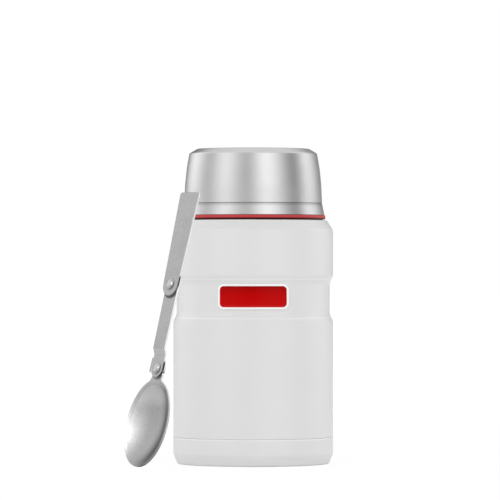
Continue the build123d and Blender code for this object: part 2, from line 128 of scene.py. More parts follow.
print("node helpers:", [helper.__name__ for helper in (add_node, join, place_of, ramp)])

# %% [markdown]
# A finish that changes over a piece needs masks, which are numbers from 0 to 1. `span` makes one
# from any value that rises or falls, `product` keeps what several masks have in common, `shaded`
# mixes a grey in by a mask, `facing` says how far a direction points along another, and
# `height_of` gives a point's height.


# %% Helpers for masks
def span(tree, value, low, high):
    """A number from 0 to 1 as the value goes from low to high."""
    node = add_node(tree, "ShaderNodeMapRange", interpolation_type="SMOOTHSTEP")
    node.inputs["From Min"].default_value = low
    node.inputs["From Max"].default_value = high
    join(tree, value, node.inputs["Value"])
    return node.outputs["Result"]


def product(tree, *values):
    result = values[0]
    for value in values[1:]:
        node = add_node(tree, "ShaderNodeMath", operation="MULTIPLY")
        join(tree, result, node.inputs[0])
        join(tree, value, node.inputs[1])
        result = node.outputs[0]
    return result


def shaded(tree, base, mask, colour, amount=1.0):
    """Mixes a grey into a colour by a mask."""
    strength = add_node(tree, "ShaderNodeMath", operation="MULTIPLY")
    strength.inputs[1].default_value = amount
    mix = add_node(tree, "ShaderNodeMix", data_type="RGBA")
    mix.inputs[7].default_value = (colour, colour, colour, 1)
    join(tree, mask, strength.inputs[0])
    join(tree, strength.outputs[0], mix.inputs["Factor"])
    join(tree, base, mix.inputs[6])
    return mix.outputs[2]


def facing(tree, normal, direction):
    node = add_node(tree, "ShaderNodeVectorMath", operation="DOT_PRODUCT")
    node.inputs[1].default_value = direction
    join(tree, normal, node.inputs[0])
    return node.outputs["Value"]


def height_of(tree):
    parts = add_node(tree, "ShaderNodeSeparateXYZ")
    join(tree, place_of(tree), parts.inputs[0])
    return parts.outputs["Z"]


print("mask helpers:", [helper.__name__ for helper in (span, product, shaded, facing, height_of)])

# %% [markdown]
# ## Floor
#
# The jar stands on a wide white sheet. Far off, the sheet shows the camera only its own white, so
# there is no horizon. Near the jar it also shows some of the light that falls on it. Where
# nothing shades it the two add up to white, and the shadow under the jar stays, but faint.


# %% Floor
FLOOR_SIZE = 40.0
FLOOR_SHOWS_LIGHT = 0.15
FLOOR_OWN_WHITE = 1.04
FLOOR_GREY = 0.9
SHADOW_NEAR, SHADOW_FAR = 0.25, 0.9

bpy.ops.object.select_all(action="DESELECT")
bpy.ops.mesh.primitive_plane_add(size=FLOOR_SIZE, location=(0, 0, 0))
floor = bpy.context.object
floor.name = "floor"

floor_paint = bpy.data.materials.new("floor_white")
floor_paint.use_nodes = True
tree = floor_paint.node_tree
tree.nodes.clear()
reach = add_node(tree, "ShaderNodeVectorMath", operation="LENGTH")
own_part = add_node(tree, "ShaderNodeMapRange")
own_part.inputs["From Min"].default_value = SHADOW_NEAR
own_part.inputs["From Max"].default_value = SHADOW_FAR
own_part.inputs["To Min"].default_value = 1 - FLOOR_SHOWS_LIGHT
lit = add_node(tree, "ShaderNodeBsdfDiffuse", Color=(FLOOR_GREY, FLOOR_GREY, FLOOR_GREY, 1))
own = add_node(tree, "ShaderNodeEmission", Color=(1, 1, 1, 1), Strength=FLOOR_OWN_WHITE)
path = add_node(tree, "ShaderNodeLightPath")
share = add_node(tree, "ShaderNodeMath", operation="MULTIPLY")
mix = add_node(tree, "ShaderNodeMixShader")
end = add_node(tree, "ShaderNodeOutputMaterial")
join(tree, place_of(tree), reach.inputs[0])
join(tree, reach.outputs["Value"], own_part.inputs["Value"])
join(tree, path.outputs["Is Camera Ray"], share.inputs[0])
join(tree, own_part.outputs["Result"], share.inputs[1])
join(tree, share.outputs[0], mix.inputs[0])
join(tree, lit.outputs[0], mix.inputs[1])
join(tree, own.outputs[0], mix.inputs[2])
join(tree, mix.outputs[0], end.inputs["Surface"])
floor.data.materials.append(floor_paint)
print("floor:", FLOOR_SIZE, "m wide")

# %% [markdown]
# ## Light
#
# White paint needs light from all round, so half of the light comes from the world itself.
# Steel is different: it shows what stands around it. In a studio, tall light panels stand round a
# steel lid, with dark gaps between them, and the lid shows them as upright bands. Here whatever
# shines sees four such panels in the world, by their compass bearing, and an even pale ceiling
# over them, which the lid's top shows. A round lid shows a panel at half its bearing, so the
# place of each band on the lid says where its panel stands.

# %% World
WORLD_LEVEL = 0.55
PANELS = [  # (compass bearing in degrees from the front, brightness), light and dark in turn
    (-170, 0.1),
    (-123, 1.4),
    (-85, 0.6),
    (-50, 1.4),
    (-11, 0.5),
    (22, 1.65),
    (76, 0.2),
    (107, 1.3),
    (155, 0.3),
]
CEILING_FROM, CEILING_TO = 0.38, 0.75
CEILING_LEVEL = 0.95

world = bpy.data.worlds.new("studio")
bpy.context.scene.world = world
world.use_nodes = True
tree = world.node_tree
tree.nodes.clear()
place = add_node(tree, "ShaderNodeTexCoord")
parts = add_node(tree, "ShaderNodeSeparateXYZ")
bearing = add_node(tree, "ShaderNodeMath", operation="ARCTAN2")
turn = add_node(tree, "ShaderNodeMapRange")
turn.inputs["From Min"].default_value = -pi
turn.inputs["From Max"].default_value = pi
back = add_node(tree, "ShaderNodeMath", operation="MULTIPLY")
back.inputs[1].default_value = -1
join(tree, place.outputs["Generated"], parts.inputs[0])
join(tree, parts.outputs["Y"], back.inputs[0])
join(tree, parts.outputs["X"], bearing.inputs[0])
join(tree, back.outputs[0], bearing.inputs[1])
join(tree, bearing.outputs[0], turn.inputs["Value"])
stops = [(0.5 + compass / 360, brightness) for compass, brightness in PANELS]
panels = ramp(tree, turn.outputs["Result"], stops, "EASE")
over = add_node(tree, "ShaderNodeMapRange", interpolation_type="SMOOTHSTEP")
over.inputs["From Min"].default_value = CEILING_FROM
over.inputs["From Max"].default_value = CEILING_TO
around = add_node(tree, "ShaderNodeMix", data_type="RGBA")
around.inputs[7].default_value = (CEILING_LEVEL, CEILING_LEVEL, CEILING_LEVEL, 1)
join(tree, parts.outputs["Z"], over.inputs["Value"])
join(tree, over.outputs["Result"], around.inputs["Factor"])
join(tree, panels, around.inputs[6])
print("light panels:", sum(brightness > 1 for compass, brightness in PANELS))

# %% [markdown]
# Three kinds of ray see three different worlds. What shines sees the panels, what is matt gets the
# even level, and the camera sees plain white behind the jar.

# %% Who sees what
path = add_node(tree, "ShaderNodeLightPath")
glossy = add_node(tree, "ShaderNodeMix", data_type="RGBA")
glossy.inputs[6].default_value = (WORLD_LEVEL, WORLD_LEVEL, WORLD_LEVEL, 1)
join(tree, path.outputs["Is Glossy Ray"], glossy.inputs["Factor"])
join(tree, around.outputs[2], glossy.inputs[7])
seen = add_node(tree, "ShaderNodeMix", data_type="RGBA")
seen.inputs[7].default_value = (1, 1, 1, 1)
join(tree, path.outputs["Is Camera Ray"], seen.inputs["Factor"])
join(tree, glossy.outputs[2], seen.inputs[6])
sky = add_node(tree, "ShaderNodeBackground", Strength=1.0)
end = add_node(tree, "ShaderNodeOutputWorld")
join(tree, seen.outputs[2], sky.inputs["Color"])
join(tree, sky.outputs[0], end.inputs["Surface"])
print("world level:", WORLD_LEVEL)

# %% [markdown]
# The other half comes from a ring of large soft lamps, the same all round, so no side of the jar
# is dark. Steel doesn't show them, because their hard squares would break up its soft bands.


# %% Ring of lamps
def soft_lamp(name, place, aim, size, power):
    data = bpy.data.lights.new(name, "AREA")
    data.size = size
    data.energy = power
    lamp = bpy.data.objects.new(name, data)
    lamp.location = place
    lamp.rotation_euler = (aim - place).to_track_quat("-Z", "Y").to_euler()
    bpy.context.scene.collection.objects.link(lamp)
    return lamp


JAR_MIDDLE = Vector((0, 0, 0.09))
RING_LAMPS = 5
RING_RADIUS = 1.6
RING_HEIGHT = 0.50
RING_LAMP_SIZE = 1.2
RING_POWER = 6.9

for index in range(RING_LAMPS):
    angle = tau * index / RING_LAMPS + pi / 2
    spot = Vector((RING_RADIUS * cos(angle), RING_RADIUS * sin(angle), RING_HEIGHT))
    lamp = soft_lamp(f"ring_lamp_{index}", spot, JAR_MIDDLE, RING_LAMP_SIZE, RING_POWER)
    lamp.visible_glossy = False
print("ring of", RING_LAMPS, "lamps,", RING_POWER, "W each")

# %% [markdown]
# The spoon stands so near the jar that it would shade the white side and show in the lid as a
# black bar, so it is left out of the jar's reflections and of the light that reaches the jar.
# Two small round lamps, linked to the bowl and to the rivets alone, put a soft white spot into
# each of them.

# %% Light for the spoon
SPOON_PLATES = ["spoon_handle", "spoon_link", "spoon_bowl"]
RIVETS = ["upper_rivet", "lower_rivet"]
LAMP_REACH = 0.8
BOWL_LAMP = {"bearing": radians(-44), "rise": radians(35), "size": 0.34, "power": 1.75}
RIVET_LAMP = {"bearing": radians(-72), "rise": radians(24), "size": 0.2, "power": 0.7}


def spot_lamp(names, bearing, rise, size, power):
    """A round lamp that lights only the named pieces, from a compass bearing and a height."""
    low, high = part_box(names[0])
    middle = (low + high) / 2
    ahead = Vector((sin(bearing) * cos(rise), -cos(bearing) * cos(rise), sin(rise)))
    lamp = soft_lamp("lamp_for_" + names[0], middle + ahead * LAMP_REACH, middle, size, power)
    lamp.data.shape = "DISK"
    group = bpy.data.collections.new("lit_" + names[0])
    for name in names:
        group.objects.link(nodes[name])
    lamp.light_linking.receiver_collection = group
    print(lamp.name, "at", tuple(round(c, 2) for c in lamp.location))


for name in SPOON_PLATES + RIVETS:
    nodes[name].visible_glossy = False
    nodes[name].visible_shadow = False
    nodes[name].visible_diffuse = False

spot_lamp(["spoon_bowl"], **BOWL_LAMP)
spot_lamp(RIVETS, **RIVET_LAMP)

# %% [markdown]
# ## Effects that several finishes share
#
# Three small node groups. `fine_grain` is the soft pebbling of powder coat and moulded plastic.
# `turned_lines` is the fine ring of scratches that a buffing belt leaves on a piece that spins.
# `handling` is the faint smudging that any metal picks up, which only changes how rough it is.
# A group is built once, and each finish places it with numbers of its own.


# %% Group: fine_grain
FLOAT, VECTOR = "NodeSocketFloat", "NodeSocketVector"
PATCH_SCALE = 35.0


def new_group(name, numbers, outputs):
    group = bpy.data.node_groups.new(name, "ShaderNodeTree")
    for label, value in numbers.items():
        socket = group.interface.new_socket(label, in_out="INPUT", socket_type="NodeSocketFloat")
        socket.default_value = value
    for label, kind in outputs.items():
        group.interface.new_socket(label, in_out="OUTPUT", socket_type=kind)
    return group, group.nodes.new("NodeGroupInput"), group.nodes.new("NodeGroupOutput")


def varied(tree, given, value):
    """The group's own roughness, up or down by its spread where the value is over or under 0.5."""
    centred = add_node(tree, "ShaderNodeMath", operation="SUBTRACT")
    centred.inputs[1].default_value = 0.5
    spread = add_node(tree, "ShaderNodeMath", operation="MULTIPLY_ADD")
    join(tree, value, centred.inputs[0])
    join(tree, centred.outputs[0], spread.inputs[0])
    join(tree, given.outputs["Spread"], spread.inputs[1])
    join(tree, given.outputs["Roughness"], spread.inputs[2])
    return spread.outputs[0]


fine_grain, given, out = new_group(
    "fine_grain",
    {"Scale": 900.0, "Roughness": 0.5, "Spread": 0.06},
    {"Height": FLOAT, "Roughness": FLOAT},
)
grain = add_node(fine_grain, "ShaderNodeTexNoise", Detail=3.0)
patches = add_node(fine_grain, "ShaderNodeTexNoise", Detail=2.0, Scale=PATCH_SCALE)
join(fine_grain, place_of(fine_grain), grain.inputs["Vector"])
join(fine_grain, place_of(fine_grain), patches.inputs["Vector"])
join(fine_grain, given.outputs["Scale"], grain.inputs["Scale"])
join(fine_grain, grain.outputs["Fac"], out.inputs["Height"])
join(fine_grain, varied(fine_grain, given, patches.outputs["Fac"]), out.inputs["Roughness"])
print("group:", fine_grain.name)

# %% [markdown]
# The turned lines vary with the height and the distance from the jar's axis, and hardly at all
# on the way round, so the noise is stretched into rings. On the lid's flat top the same rule
# gives concentric rings.

# %% Group: turned_lines
CHANGE_ROUND = 0.0012

turned_lines, given, out = new_group(
    "turned_lines",
    {"Density": 2600.0, "Roughness": 0.3, "Spread": 0.12},
    {"Height": FLOAT, "Roughness": FLOAT, "Shade": FLOAT},
)
parts = add_node(turned_lines, "ShaderNodeSeparateXYZ")
flat = add_node(turned_lines, "ShaderNodeCombineXYZ")
reach = add_node(turned_lines, "ShaderNodeVectorMath", operation="LENGTH")
angle = add_node(turned_lines, "ShaderNodeMath", operation="ARCTAN2")
slow = add_node(turned_lines, "ShaderNodeMath", operation="MULTIPLY")
slow.inputs[1].default_value = CHANGE_ROUND
ringed = add_node(turned_lines, "ShaderNodeCombineXYZ")
lines = add_node(turned_lines, "ShaderNodeTexNoise", Detail=4.0)
join(turned_lines, place_of(turned_lines), parts.inputs[0])
join(turned_lines, parts.outputs["X"], flat.inputs["X"])
join(turned_lines, parts.outputs["Y"], flat.inputs["Y"])
join(turned_lines, flat.outputs[0], reach.inputs[0])
join(turned_lines, parts.outputs["Y"], angle.inputs[0])
join(turned_lines, parts.outputs["X"], angle.inputs[1])
join(turned_lines, angle.outputs[0], slow.inputs[0])
join(turned_lines, reach.outputs["Value"], ringed.inputs["X"])
join(turned_lines, slow.outputs[0], ringed.inputs["Y"])
join(turned_lines, parts.outputs["Z"], ringed.inputs["Z"])
join(turned_lines, ringed.outputs[0], lines.inputs["Vector"])
join(turned_lines, given.outputs["Density"], lines.inputs["Scale"])
join(turned_lines, lines.outputs["Fac"], out.inputs["Height"])
join(turned_lines, varied(turned_lines, given, lines.outputs["Fac"]), out.inputs["Roughness"])
join(turned_lines, lines.outputs["Fac"], out.inputs["Shade"])
print("group:", turned_lines.name)

# %% [markdown]
# Fingers leave smudges here and there and not in between, so only the upper part of a warped
# noise counts as smudged.

# %% Group: handling
SMUDGE_FROM, SMUDGE_TO = 0.45, 0.72

handling, given, out = new_group(
    "handling",
    {"Scale": 60.0, "Roughness": 0.3, "Amount": 0.1},
    {"Roughness": FLOAT, "Mask": FLOAT},
)
smudge = add_node(handling, "ShaderNodeTexNoise", Detail=5.0, Distortion=0.8)
mask = add_node(handling, "ShaderNodeMapRange")
mask.inputs["From Min"].default_value = SMUDGE_FROM
mask.inputs["From Max"].default_value = SMUDGE_TO
dulled = add_node(handling, "ShaderNodeMath", operation="MULTIPLY_ADD")
join(handling, place_of(handling), smudge.inputs["Vector"])
join(handling, given.outputs["Scale"], smudge.inputs["Scale"])
join(handling, smudge.outputs["Fac"], mask.inputs["Value"])
join(handling, mask.outputs["Result"], dulled.inputs[0])
join(handling, given.outputs["Amount"], dulled.inputs[1])
join(handling, given.outputs["Roughness"], dulled.inputs[2])
join(handling, dulled.outputs[0], out.inputs["Roughness"])
join(handling, mask.outputs["Result"], out.inputs["Mask"])
print("group:", handling.name)

# %% [markdown]
# ## Finishes
#
# A finish starts from a Principled shader, with its plain numbers set on the shader's own
# sockets. A shared group is placed beside it, a bump turns a height into small dents, and the
# material then goes on the pieces.


# %% Helpers for finishes
def new_finish(name, **sockets):
    material = bpy.data.materials.new(name)
    material.use_nodes = True
    shader = material.node_tree.nodes["Principled BSDF"]
    for label, value in sockets.items():
        shader.inputs[label.replace("_", " ")].default_value = value
    return material, material.node_tree, shader


def use_group(tree, group, **numbers):
    node = tree.nodes.new("ShaderNodeGroup")
    node.node_tree = group
    for label, value in numbers.items():
        node.inputs[label].default_value = value
    return node


def add_bump(tree, height, shader, distance, strength=1.0):
    bump = add_node(tree, "ShaderNodeBump", Strength=strength, Distance=distance)
    join(tree, height, bump.inputs["Height"])
    join(tree, bump.outputs["Normal"], shader.inputs["Normal"])
    return bump


def dress(material, *names):
    """Gives model pieces a material."""
    for name in names:
        slots = nodes[name].material_slots
        if slots:
            for slot in slots:
                slot.material = material
        else:
            nodes[name].data.materials.append(material)


print("finish helpers:", [helper.__name__ for helper in (new_finish, use_group, add_bump, dress)])

# %% [markdown]
# ### White powder coat
#
# Baked powder is matt with a very fine pebble. Its colour drifts by a hair from place to place,
# which keeps a large white surface from looking like plastic sheet. Thin lines of painted
# highlight lighten the colour along the seam and along the edges of the waist. The neck is masked
# off before the powder is sprayed, so above the red ring the same piece shows its steel.

# %% White powder coat
SEAM_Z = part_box("base_cup")[1].z
NECK_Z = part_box("neck_ring")[1].z
WAIST_EDGES = (86.6 * MM, 109.6 * MM)
LINE_HALF, LINE_HIGHLIGHT = 0.45 * MM, 0.24
SEAM_HALF, SEAM_HIGHLIGHT = 0.6 * MM, 0.42
FADE_FROM, FADE_TO = 1.6, 0.4  # in half widths of a line
POWDER_WHITES = [(0.3, 0.725), (0.7, 0.745)]
POWDER_PEBBLE = 0.04 * MM
BARE_FADE, BARE_GREY = 0.2 * MM, 0.6

powder, tree, shader = new_finish("white_powder_coat", Specular_IOR_Level=0.5)
grain = use_group(tree, fine_grain, Scale=1500.0, Roughness=0.32, Spread=0.08)
drift = add_node(tree, "ShaderNodeTexNoise", Scale=14.0, Detail=2.0)
join(tree, place_of(tree), drift.inputs["Vector"])
height = height_of(tree)
colour = ramp(tree, drift.outputs["Fac"], POWDER_WHITES)
highlight_lines = [(edge, LINE_HALF, LINE_HIGHLIGHT) for edge in WAIST_EDGES]
highlight_lines.append((SEAM_Z, SEAM_HALF, SEAM_HIGHLIGHT))
# Each line is a painted highlight: the colour is mixed towards white in a thin band.
for line, half, white in highlight_lines:
    rising = span(tree, height, line - FADE_FROM * half, line - FADE_TO * half)
    falling = span(tree, height, line + FADE_FROM * half, line + FADE_TO * half)
    colour = shaded(tree, colour, product(tree, rising, falling), 1.0, white)
bare = span(tree, height, NECK_Z - BARE_FADE, NECK_Z)
join(tree, shaded(tree, colour, bare, BARE_GREY), shader.inputs["Base Color"])
join(tree, bare, shader.inputs["Metallic"])
join(tree, grain.outputs["Roughness"], shader.inputs["Roughness"])
add_bump(tree, grain.outputs["Height"], shader, POWDER_PEBBLE, strength=0.6)
dress(powder, "outer_shell", "base_cup")
print("powder coat; bare neck from", round(NECK_Z / MM, 1), "mm up")

# %% [markdown]
# ### Brushed steel of the lid
#
# The lid was spun against a belt, so its scratches run round it. Such a surface spreads light up
# and down but not sideways, which the anisotropy does, and the bump adds the single lines. The
# colour is painted darker in the groove above the lid's skirt and on the steel just under it, as
# painted shade in the crease.

# %% Brushed steel
GROOVE_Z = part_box("lid_shell")[0].z + 6.9 * MM
GROOVE_HALF = 0.25 * MM
SHADE_BELOW, SHADE_ABOVE = 2.2 * MM, 0.6 * MM
GROOVE_SHADE = (0.2, 0.42)  # a grey, and how much of it
LID_GREYS = [(0.25, 0.655), (0.75, 0.685)]
SCRATCH_DEPTH = 0.02 * MM

brushed, tree, shader = new_finish(
    "brushed_lid_steel", Metallic=1.0, Anisotropic=0.6, Anisotropic_Rotation=0.25
)
lines = use_group(tree, turned_lines, Density=2600.0, Roughness=0.34, Spread=0.07)
height = height_of(tree)
rising = span(tree, height, GROOVE_Z - SHADE_BELOW, GROOVE_Z - GROOVE_HALF)
falling = span(tree, height, GROOVE_Z + SHADE_ABOVE, GROOVE_Z + GROOVE_HALF)
colour = ramp(tree, lines.outputs["Shade"], LID_GREYS)
# Painted shade: the grey is darkened in the groove and just under it.
colour = shaded(tree, colour, product(tree, rising, falling), *GROOVE_SHADE)
join(tree, colour, shader.inputs["Base Color"])
join(tree, lines.outputs["Roughness"], shader.inputs["Roughness"])
add_bump(tree, lines.outputs["Height"], shader, SCRATCH_DEPTH, strength=0.14)
dress(brushed, "lid_shell")
print("lid brushed; groove at", round(GROOVE_Z / MM, 1), "mm")

# %% [markdown]
# ### Sides of the spoon's plates
#
# The spoon is stamped from sheet. Its sides get a painted highlight where they look to the right,
# and painted shade where they look down, as the round lower ends do, which face the floor. This
# group tells the two apart by the surface's own direction: how far it looks across the spoon,
# along it and out of its face. The three directions come from the model's hinges. A piece's own
# directions are compared with them, so the marks turn with the plates when the spoon folds.

# %% Directions of the spoon
hinges = {joint["name"]: joint for joint in frame["joints"]}
upper_pivot = Vector(hinges["handle_fold"]["pos_m"])
lower_pivot = Vector(hinges["bowl_fold"]["pos_m"])
spoon_out = Vector(hinges["handle_fold"]["axis"]).normalized()
spoon_up = (upper_pivot - lower_pivot).normalized()
spoon_right = spoon_up.cross(spoon_out).normalized()
for label, direction in (("out", spoon_out), ("up", spoon_up), ("right", spoon_right)):
    print("spoon", label, tuple(round(c, 3) for c in direction))

# %% [markdown]
# A mask for each kind of face is a product of simple ones: it is a side if it doesn't look out of
# the plate, it gets the painted highlight if it looks right and not down, and so on. How far a face
# looks along a direction is 1 straight along it, 0 across it and -1 away from it, and each span
# says where a face starts and stops to count. The bend is the short slope where the link steps
# inwards, and it gets a painted highlight too.

# %% Group: plate_sides
plate_sides, _, out = new_group(
    "plate_sides", {}, {"Bright": FLOAT, "Dark": FLOAT, "Highlighted_bend": FLOAT}
)
place = add_node(plate_sides, "ShaderNodeTexCoord")
normal = place.outputs["Normal"]
looks_right = facing(plate_sides, normal, spoon_right)
looks_up = facing(plate_sides, normal, spoon_up)
looks_out = facing(plate_sides, normal, spoon_out)
level = add_node(plate_sides, "ShaderNodeMath", operation="ABSOLUTE")
join(plate_sides, looks_out, level.inputs[0])
is_side = span(plate_sides, level.outputs[0], 0.86, 0.55)
is_front = span(plate_sides, looks_out, -0.5, -0.2)
is_right = span(plate_sides, looks_right, 0.25, 0.6)
is_low = span(plate_sides, looks_up, -0.12, -0.5)
not_low = span(plate_sides, looks_up, -0.5, -0.12)
is_flat = span(plate_sides, looks_out, 0.6, 0.8)
leans_down = span(plate_sides, looks_up, -0.2, -0.4)
# Painted highlight on sides that look right and not down, painted shade on sides that look down.
painted_highlight = product(plate_sides, is_side, is_front, is_right, not_low)
join(plate_sides, painted_highlight, out.inputs["Bright"])
join(plate_sides, product(plate_sides, is_side, is_low), out.inputs["Dark"])
join(plate_sides, product(plate_sides, is_flat, leans_down), out.inputs["Highlighted_bend"])
print("group:", plate_sides.name)

# %% [markdown]
# The plate round each rivet's head gets a ring of painted shade, and where a plate's round end
# lies on the next plate a crescent of painted shadow goes under it.
# `from_rivets` puts out how far a point is from each rivet's axis, and the masks come from that.

# %% Group: from_rivets
SHADE_ASIDE = 0.3 * MM

from_rivets, _, out = new_group("from_rivets", {}, {"Upper": FLOAT, "Lower": FLOAT})
for label, pivot in (("Upper", upper_pivot), ("Lower", lower_pivot)):
    shifted = add_node(from_rivets, "ShaderNodeVectorMath", operation="SUBTRACT")
    shifted.inputs[1].default_value = pivot + (spoon_right - spoon_up) * SHADE_ASIDE
    off_axis = add_node(from_rivets, "ShaderNodeVectorMath", operation="CROSS_PRODUCT")
    off_axis.inputs[1].default_value = spoon_out
    distance = add_node(from_rivets, "ShaderNodeVectorMath", operation="LENGTH")
    join(from_rivets, place_of(from_rivets), shifted.inputs[0])
    join(from_rivets, shifted.outputs[0], off_axis.inputs[0])
    join(from_rivets, off_axis.outputs[0], distance.inputs[0])
    join(from_rivets, distance.outputs["Value"], out.inputs[label])
print("group:", from_rivets.name)

# %% [markdown]
# ### The bowl's shading
#
# On a stamped bowl the hollow's shading runs on to the very edge, with no line where the narrow
# brim begins. The group finds a point's place in the bowl, as a share of the way from its middle
# to its edge, and works out which way a smooth dish would face there. The shader takes that
# direction on the bowl's open side and the mesh's own direction everywhere else. The bowl stops a
# little short of straight, so its own directions are the spoon's, turned by that much.

# %% Place in the bowl
BOWL_HALF_WIDTH, BOWL_HALF_LENGTH = 19.8 * MM, 26.2 * MM
BOWL_HOLLOW = 6.8 * MM
BOWL_BELOW_PIVOT = 32.8 * MM
BOWL_SET = radians(-1.6)

bowl_up = Quaternion(spoon_out, BOWL_SET) @ spoon_up
bowl_right = Quaternion(spoon_out, BOWL_SET) @ spoon_right
bowl_centre = lower_pivot - bowl_up * BOWL_BELOW_PIVOT
across_share = bowl_right / BOWL_HALF_WIDTH
along_share = bowl_up / BOWL_HALF_LENGTH
farthest = 0.0
for vertex in nodes["spoon_bowl"].data.vertices:
    offset = vertex.co - bowl_centre
    if offset.dot(bowl_up) < 0:
        farthest = max(farthest, hypot(offset.dot(across_share), offset.dot(along_share)))
print("edge of the bowl at", round(farthest, 3), "of the way from its middle")

# %% [markdown]
# A dish rises by the square of the way from its middle, so its slope grows evenly from nothing
# there to its steepest at the edge. That makes the direction easy: out of the spoon, and back
# towards the middle by the same two shares that give the place, times the slope at the edge.


# %% Group: in_bowl
def scaled(tree, vector, scale):
    node = add_node(tree, "ShaderNodeVectorMath", operation="SCALE")
    node.inputs[0].default_value = vector
    join(tree, scale, node.inputs["Scale"])
    return node.outputs[0]


in_bowl, _, out = new_group(
    "in_bowl", {}, {"Normal": VECTOR, "Right": FLOAT, "Left": FLOAT, "Edge": FLOAT}
)
offset = add_node(in_bowl, "ShaderNodeVectorMath", operation="SUBTRACT")
offset.inputs[1].default_value = bowl_centre
join(in_bowl, place_of(in_bowl), offset.inputs[0])
across = facing(in_bowl, offset.outputs[0], across_share)
along = facing(in_bowl, offset.outputs[0], along_share)
lean_across = scaled(in_bowl, across_share * -2 * BOWL_HOLLOW, across)
lean_along = scaled(in_bowl, along_share * -2 * BOWL_HOLLOW, along)
leaning = add_node(in_bowl, "ShaderNodeVectorMath", operation="ADD")
dish = add_node(in_bowl, "ShaderNodeVectorMath", operation="ADD")
dish.inputs[1].default_value = spoon_out
dish_unit = add_node(in_bowl, "ShaderNodeVectorMath", operation="NORMALIZE")
join(in_bowl, lean_across, leaning.inputs[0])
join(in_bowl, lean_along, leaning.inputs[1])
join(in_bowl, leaning.outputs[0], dish.inputs[0])
join(in_bowl, dish.outputs[0], dish_unit.inputs[0])
print("slope at the bowl's edge:", round(2 * BOWL_HOLLOW / BOWL_HALF_WIDTH, 2))

# %% [markdown]
# The mesh's own direction says which side is open. A finish wants the direction in the world, so
# it is turned with the piece before it is put out.

# %% Its direction, on the open side only
place = add_node(in_bowl, "ShaderNodeTexCoord")
looks_out = span(in_bowl, facing(in_bowl, place.outputs["Normal"], spoon_out), 0.4, 0.6)
off_tang = span(in_bowl, along, 1.05, 0.7)
either = add_node(in_bowl, "ShaderNodeMix", data_type="VECTOR")
in_world = add_node(in_bowl, "ShaderNodeVectorTransform", vector_type="NORMAL")
in_world.convert_from, in_world.convert_to = "OBJECT", "WORLD"
join(in_bowl, product(in_bowl, looks_out, off_tang), either.inputs["Factor"])
join(in_bowl, place.outputs["Normal"], either.inputs[4])
join(in_bowl, dish_unit.outputs[0], either.inputs[5])
join(in_bowl, either.outputs[1], in_world.inputs[0])
join(in_bowl, in_world.outputs[0], out.inputs["Normal"])
print("group:", in_bowl.name, "gives a", out.inputs["Normal"].name.lower())

# %% [markdown]
# Three masks go with it. Right is the side of the hollow that turns away to the lower right and
# gets painted shade, Left is the brim on the other side and gets a painted highlight, and Edge is a
# thin painted highlight along the right edge.

# %% Its masks
RIGHT_PART, LOW_PART = 0.85, 0.5

pair = add_node(in_bowl, "ShaderNodeCombineXYZ")
share = add_node(in_bowl, "ShaderNodeVectorMath", operation="LENGTH")
join(in_bowl, across, pair.inputs["X"])
join(in_bowl, along, pair.inputs["Y"])
join(in_bowl, pair.outputs[0], share.inputs[0])
from_middle = share.outputs["Value"]

to_low_right = across_share * RIGHT_PART - along_share * LOW_PART
low_right = facing(in_bowl, offset.outputs[0], to_low_right)
on_edge = span(in_bowl, from_middle, 0.955, 0.985)
on_right = span(in_bowl, across, 0.1, 0.5)
on_brim = span(in_bowl, from_middle, 0.84, 0.93)
on_left = span(in_bowl, across, 0.35, -0.15)
not_low = span(in_bowl, along, -0.85, -0.4)
fainter_above = add_node(in_bowl, "ShaderNodeMapRange")
fainter_above.inputs["From Min"].default_value = 0.45
fainter_above.inputs["From Max"].default_value = 0.0
fainter_above.inputs["To Min"].default_value = 0.35
join(in_bowl, along, fainter_above.inputs["Value"])
left = product(in_bowl, on_brim, on_left, fainter_above.outputs["Result"], not_low)
# Masks for painted shade on the right and painted highlights on the left brim and the edge.
join(in_bowl, span(in_bowl, low_right, 0.2, 0.85), out.inputs["Right"])
join(in_bowl, left, out.inputs["Left"])
join(in_bowl, product(in_bowl, on_edge, on_right), out.inputs["Edge"])
print("masks of", in_bowl.name + ":", [socket.name for socket in out.inputs[1:4]])

# %% [markdown]
# ### Tumbled steel of the spoon
#
# The spoon is tumbled in fine stones until it is evenly dull, which leaves a soft mottle. The
# three plates share the finish, but each has its own round end and its own rivets, so a function
# makes the material for one plate. The bowl gets painted shade where it turns away on the right,
# up to a thin painted highlight on its edge. Steel that is seen at a slant looks whiter, and the
# bowl's far wall would stand out by it, so the bowl's tint for slanting light is dark.

# %% Sizes and greys of the tumbled steel
RIVET_HEAD, RIVET_SHADE = 3.2 * MM, 4.1 * MM
HANDLE_END, LINK_END = 7.2 * MM, 5.3 * MM
END_FADE = (0.6 * MM, 2 * MM)
CRESCENT, CRESCENT_CORE = 1.5 * MM, 0.45 * MM
GRAIN_DEPTH = 0.024 * MM
STEEL_GREYS = [(0.35, 0.40), (0.65, 0.45)]
# The painted highlight on the plates' sides is this near white.
SIDE_HIGHLIGHT_GREY = 0.95
PLATE_ROUGH, BOWL_ROUGH = 0.34, 0.42
EDGE_TINT = 0.25
# Greys of painted light: the bend, the bowl's left and its edge get painted highlights; the rest
# are painted shade.
PAINTED_LIGHT_GREYS = {  # for each mask a grey, and how much of it
    "bend": (0.75, 0.5),
    "round a rivet": (0.12, 0.6),
    "under an end": (0.03, 0.85),
    "low side": (0.02, 0.92),
    "low side of the bowl": (0.02, 0.3),
    "right of the bowl": (0.10, 0.5),
    "left of the bowl": (0.62, 0.8),
    "edge of the bowl": (0.5, 0.5),
}
print("greys for", len(PAINTED_LIGHT_GREYS), "masks")

# %% [markdown]
# The greys go on one after another, from the whole plate to its smallest marks. The painted
# highlight on a side is so bright that it is treated as white paint, not as metal.


